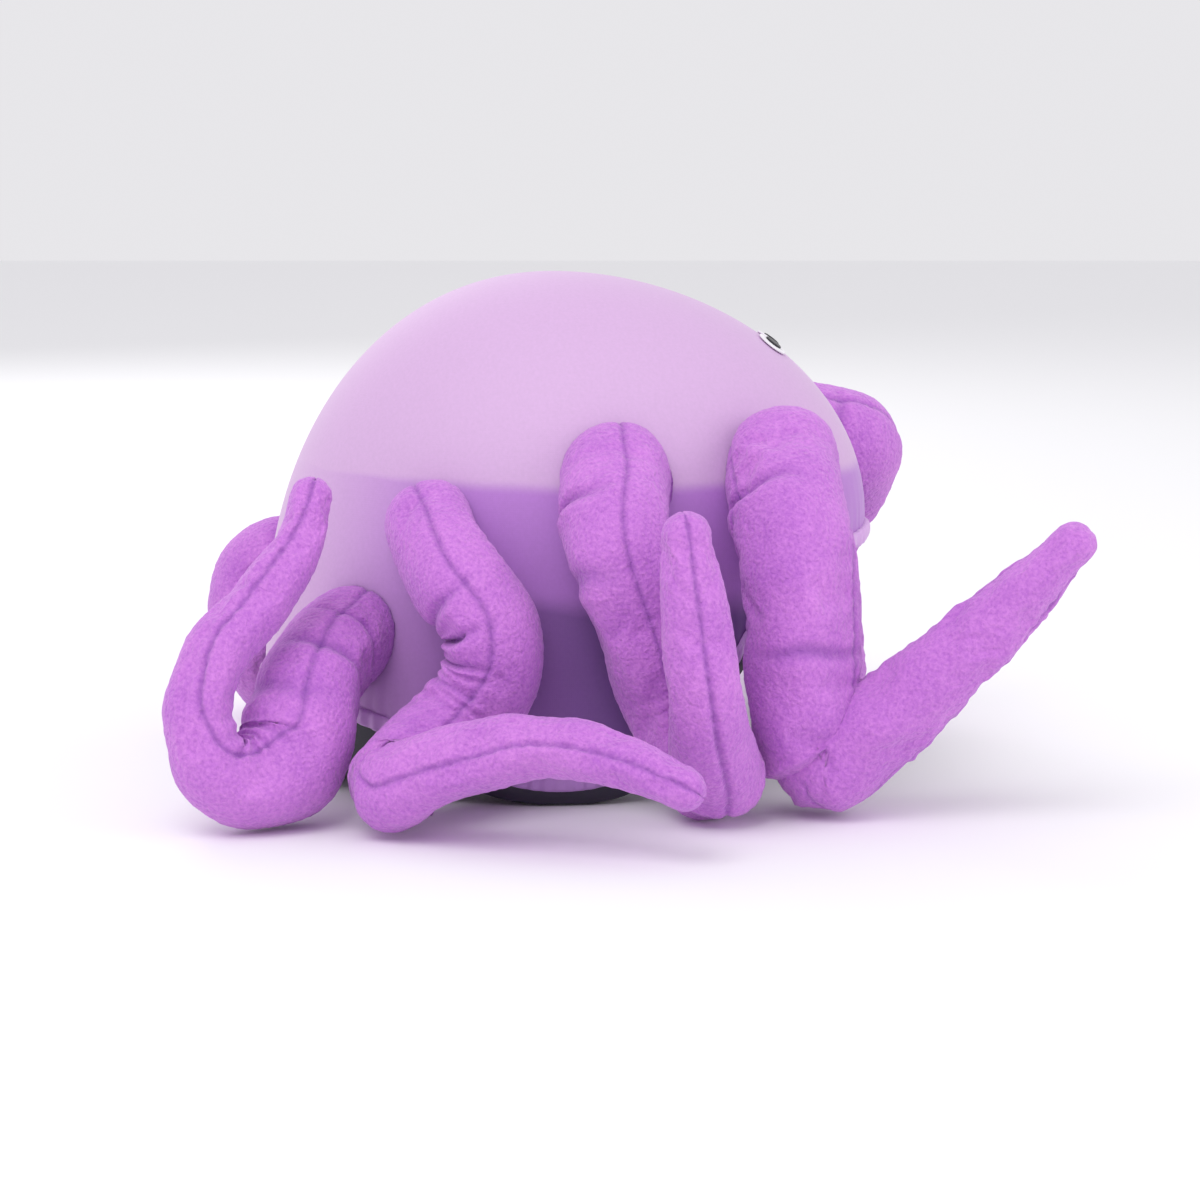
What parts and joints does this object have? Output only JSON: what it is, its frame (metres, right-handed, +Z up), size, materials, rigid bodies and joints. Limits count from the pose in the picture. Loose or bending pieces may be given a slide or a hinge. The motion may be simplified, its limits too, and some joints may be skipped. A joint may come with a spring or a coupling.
{
  "type": "helmet with octopus cover",
  "caption": "Snow helmet in a stretch-knit octopus cover: a domed knit crown with felt eyes, a gathered elastic hem, and stuffed fleece tentacles that bend and stay put.",
  "frame": {"origin": "middle of the footprint, on the surface that the helmet stands on", "axes": "+X towards the face opening, +Y to the wearer's left, +Z up"},
  "size_m": [0.3862, 0.4602, 0.219],
  "materials": {
    "knit": "pale lilac stretch knit with a satin face",
    "fleece": "lilac polar fleece with a nubby pile",
    "felt_white": "white felt",
    "felt_dark": "near-black felt",
    "elastic": "white woven elastic",
    "shell": "near-black moulded shell",
    "foam": "dark grey bead foam",
    "padding": "black brushed comfort padding",
    "plastic": "black moulded plastic",
    "webbing": "black woven webbing"
  },
  "bodies": {
    "root": {"helmet_shell": "shell", "foam_liner": "foam", "crown_pad": "padding", "brow_pad": "padding", "nape_pad": "padding", "ear_pad_left": "padding", "ear_pad_right": "padding", "strap_anchor_left": "plastic", "strap_anchor_right": "plastic", "crown_cover": "knit", "hem_casing": "knit", "hem_elastic": "elastic", "eye_white_left": "felt_white", "eye_white_right": "felt_white", "eye_pupil_left": "felt_dark", "eye_pupil_right": "felt_dark", "tentacle_right_nape_root": "fleece", "tentacle_right_back_root": "fleece", "tentacle_right_ear_root": "fleece", "tentacle_right_brow_root": "fleece", "tentacle_left_nape_root": "fleece", "tentacle_left_back_root": "fleece", "tentacle_left_ear_root": "fleece", "tentacle_left_brow_root": "fleece"},
    "nape_cradle": {"nape_cradle": "plastic"},
    "fit_dial": {"fit_dial": "plastic"},
    "chin_strap": {"chin_strap_left": "webbing", "chin_strap_right": "webbing", "buckle_tongue": "plastic", "buckle_socket": "plastic"},
    "right_nape_upper": {"tentacle_right_nape_upper": "fleece"},
    "right_nape_lower": {"tentacle_right_nape_lower": "fleece"},
    "right_nape_tip": {"tentacle_right_nape_tip": "fleece"},
    "right_back_upper": {"tentacle_right_back_upper": "fleece"},
    "right_back_lower": {"tentacle_right_back_lower": "fleece"},
    "right_ear_upper": {"tentacle_right_ear_upper": "fleece"},
    "right_ear_lower": {"tentacle_right_ear_lower": "fleece"},
    "right_brow_upper": {"tentacle_right_brow_upper": "fleece"},
    "right_brow_lower": {"tentacle_right_brow_lower": "fleece"},
    "left_nape_upper": {"tentacle_left_nape_upper": "fleece"},
    "left_nape_lower": {"tentacle_left_nape_lower": "fleece"},
    "left_back_upper": {"tentacle_left_back_upper": "fleece"},
    "left_back_lower": {"tentacle_left_back_lower": "fleece"},
    "left_ear_upper": {"tentacle_left_ear_upper": "fleece"},
    "left_ear_lower": {"tentacle_left_ear_lower": "fleece"},
    "left_brow_upper": {"tentacle_left_brow_upper": "fleece"},
    "left_brow_lower": {"tentacle_left_brow_lower": "fleece"}
  },
  "joints": [
    {"name": "nape_cradle_slide", "type": "slide", "parent": "root", "child": "nape_cradle", "axis": [1, 0, 0], "range_m": [0, 0.0094]},
    {"name": "fit_dial_turn", "type": "hinge", "parent": "nape_cradle", "child": "fit_dial", "pos_m": [-0.1171, -0.0094, 0.031], "axis": [1, 0, 0], "range_deg": [0, 540]},
    {"name": "chin_strap_swing", "type": "hinge", "parent": "root", "child": "chin_strap", "pos_m": [-0.0504, -0.0094, 0.03], "axis": [0, -1, 0], "range_deg": [-50, 95]},
    {"name": "right_nape_neck", "type": "hinge", "parent": "root", "child": "right_nape_upper", "pos_m": [-0.1244, -0.1184, 0.061], "axis": [-0.867, 0.4983, 0], "range_deg": [0, 28]},
    {"name": "right_nape_knee", "type": "hinge", "parent": "right_nape_upper", "child": "right_nape_lower", "pos_m": [-0.1354, -0.1504, 0.0275], "axis": [0, 0, 1], "range_deg": [0, 45]},
    {"name": "right_nape_curl", "type": "hinge", "parent": "right_nape_lower", "child": "right_nape_tip", "pos_m": [-0.1704, -0.1674, 0.047], "axis": [0, -1, 0], "range_deg": [0, 55]},
    {"name": "right_back_neck", "type": "hinge", "parent": "root", "child": "right_back_upper", "pos_m": [-0.0694, -0.1324, 0.102], "axis": [-1, 0, 0], "range_deg": [0, 60]},
    {"name": "right_back_knee", "type": "hinge", "parent": "right_back_upper", "child": "right_back_lower", "pos_m": [-0.0914, -0.1694, 0.021], "axis": [0, 0, -1], "range_deg": [0, 50]},
    {"name": "right_ear_neck", "type": "hinge", "parent": "root", "child": "right_ear_upper", "pos_m": [-0.0004, -0.1364, 0.113], "axis": [-1, 0, 0], "range_deg": [0, 15]},
    {"name": "right_ear_knee", "type": "hinge", "parent": "right_ear_upper", "child": "right_ear_lower", "pos_m": [0.0376, -0.1464, 0.0205], "axis": [1, 0, 0], "range_deg": [0, 35]},
    {"name": "right_brow_neck", "type": "hinge", "parent": "root", "child": "right_brow_upper", "pos_m": [0.0716, -0.1194, 0.118], "axis": [-1, 0, 0], "range_deg": [0, 60]},
    {"name": "right_brow_knee", "type": "hinge", "parent": "right_brow_upper", "child": "right_brow_lower", "pos_m": [0.0836, -0.1324, 0.0235], "axis": [0, 1, 0], "range_deg": [0, 34]},
    {"name": "left_nape_neck", "type": "hinge", "parent": "root", "child": "left_nape_upper", "pos_m": [-0.1664, 0.0536, 0.078], "axis": [0.867, 0.4983, 0], "range_deg": [0, 50]},
    {"name": "left_nape_knee", "type": "hinge", "parent": "left_nape_upper", "child": "left_nape_lower", "pos_m": [-0.1624, 0.0726, 0.021], "axis": [0, 0, 1], "range_deg": [0, 45]},
    {"name": "left_back_neck", "type": "hinge", "parent": "root", "child": "left_back_upper", "pos_m": [-0.0704, 0.1126, 0.102], "axis": [1, 0, 0], "range_deg": [0, 60]},
    {"name": "left_back_knee", "type": "hinge", "parent": "left_back_upper", "child": "left_back_lower", "pos_m": [-0.0624, 0.1296, 0.0215], "axis": [0, 0, 1], "range_deg": [0, 40]},
    {"name": "left_ear_neck", "type": "hinge", "parent": "root", "child": "left_ear_upper", "pos_m": [0.0036, 0.1176, 0.113], "axis": [1, 0, 0], "range_deg": [0, 60]},
    {"name": "left_ear_knee", "type": "hinge", "parent": "left_ear_upper", "child": "left_ear_lower", "pos_m": [0.0176, 0.1286, 0.0215], "axis": [0.9404, -0.3401, 0], "range_deg": [0, 50]},
    {"name": "left_brow_neck", "type": "hinge", "parent": "root", "child": "left_brow_upper", "pos_m": [0.1076, 0.0636, 0.133], "axis": [0.4983, -0.867, 0], "range_deg": [0, 40]},
    {"name": "left_brow_knee", "type": "hinge", "parent": "left_brow_upper", "child": "left_brow_lower", "pos_m": [0.0986, 0.0896, 0.026], "axis": [0, 0, -1], "range_deg": [0, 45]}
  ],
  "couplings": [
    {"joint": "fit_dial_turn", "follows": "nape_cradle_slide", "rad_per_m": 1000}
  ]
}
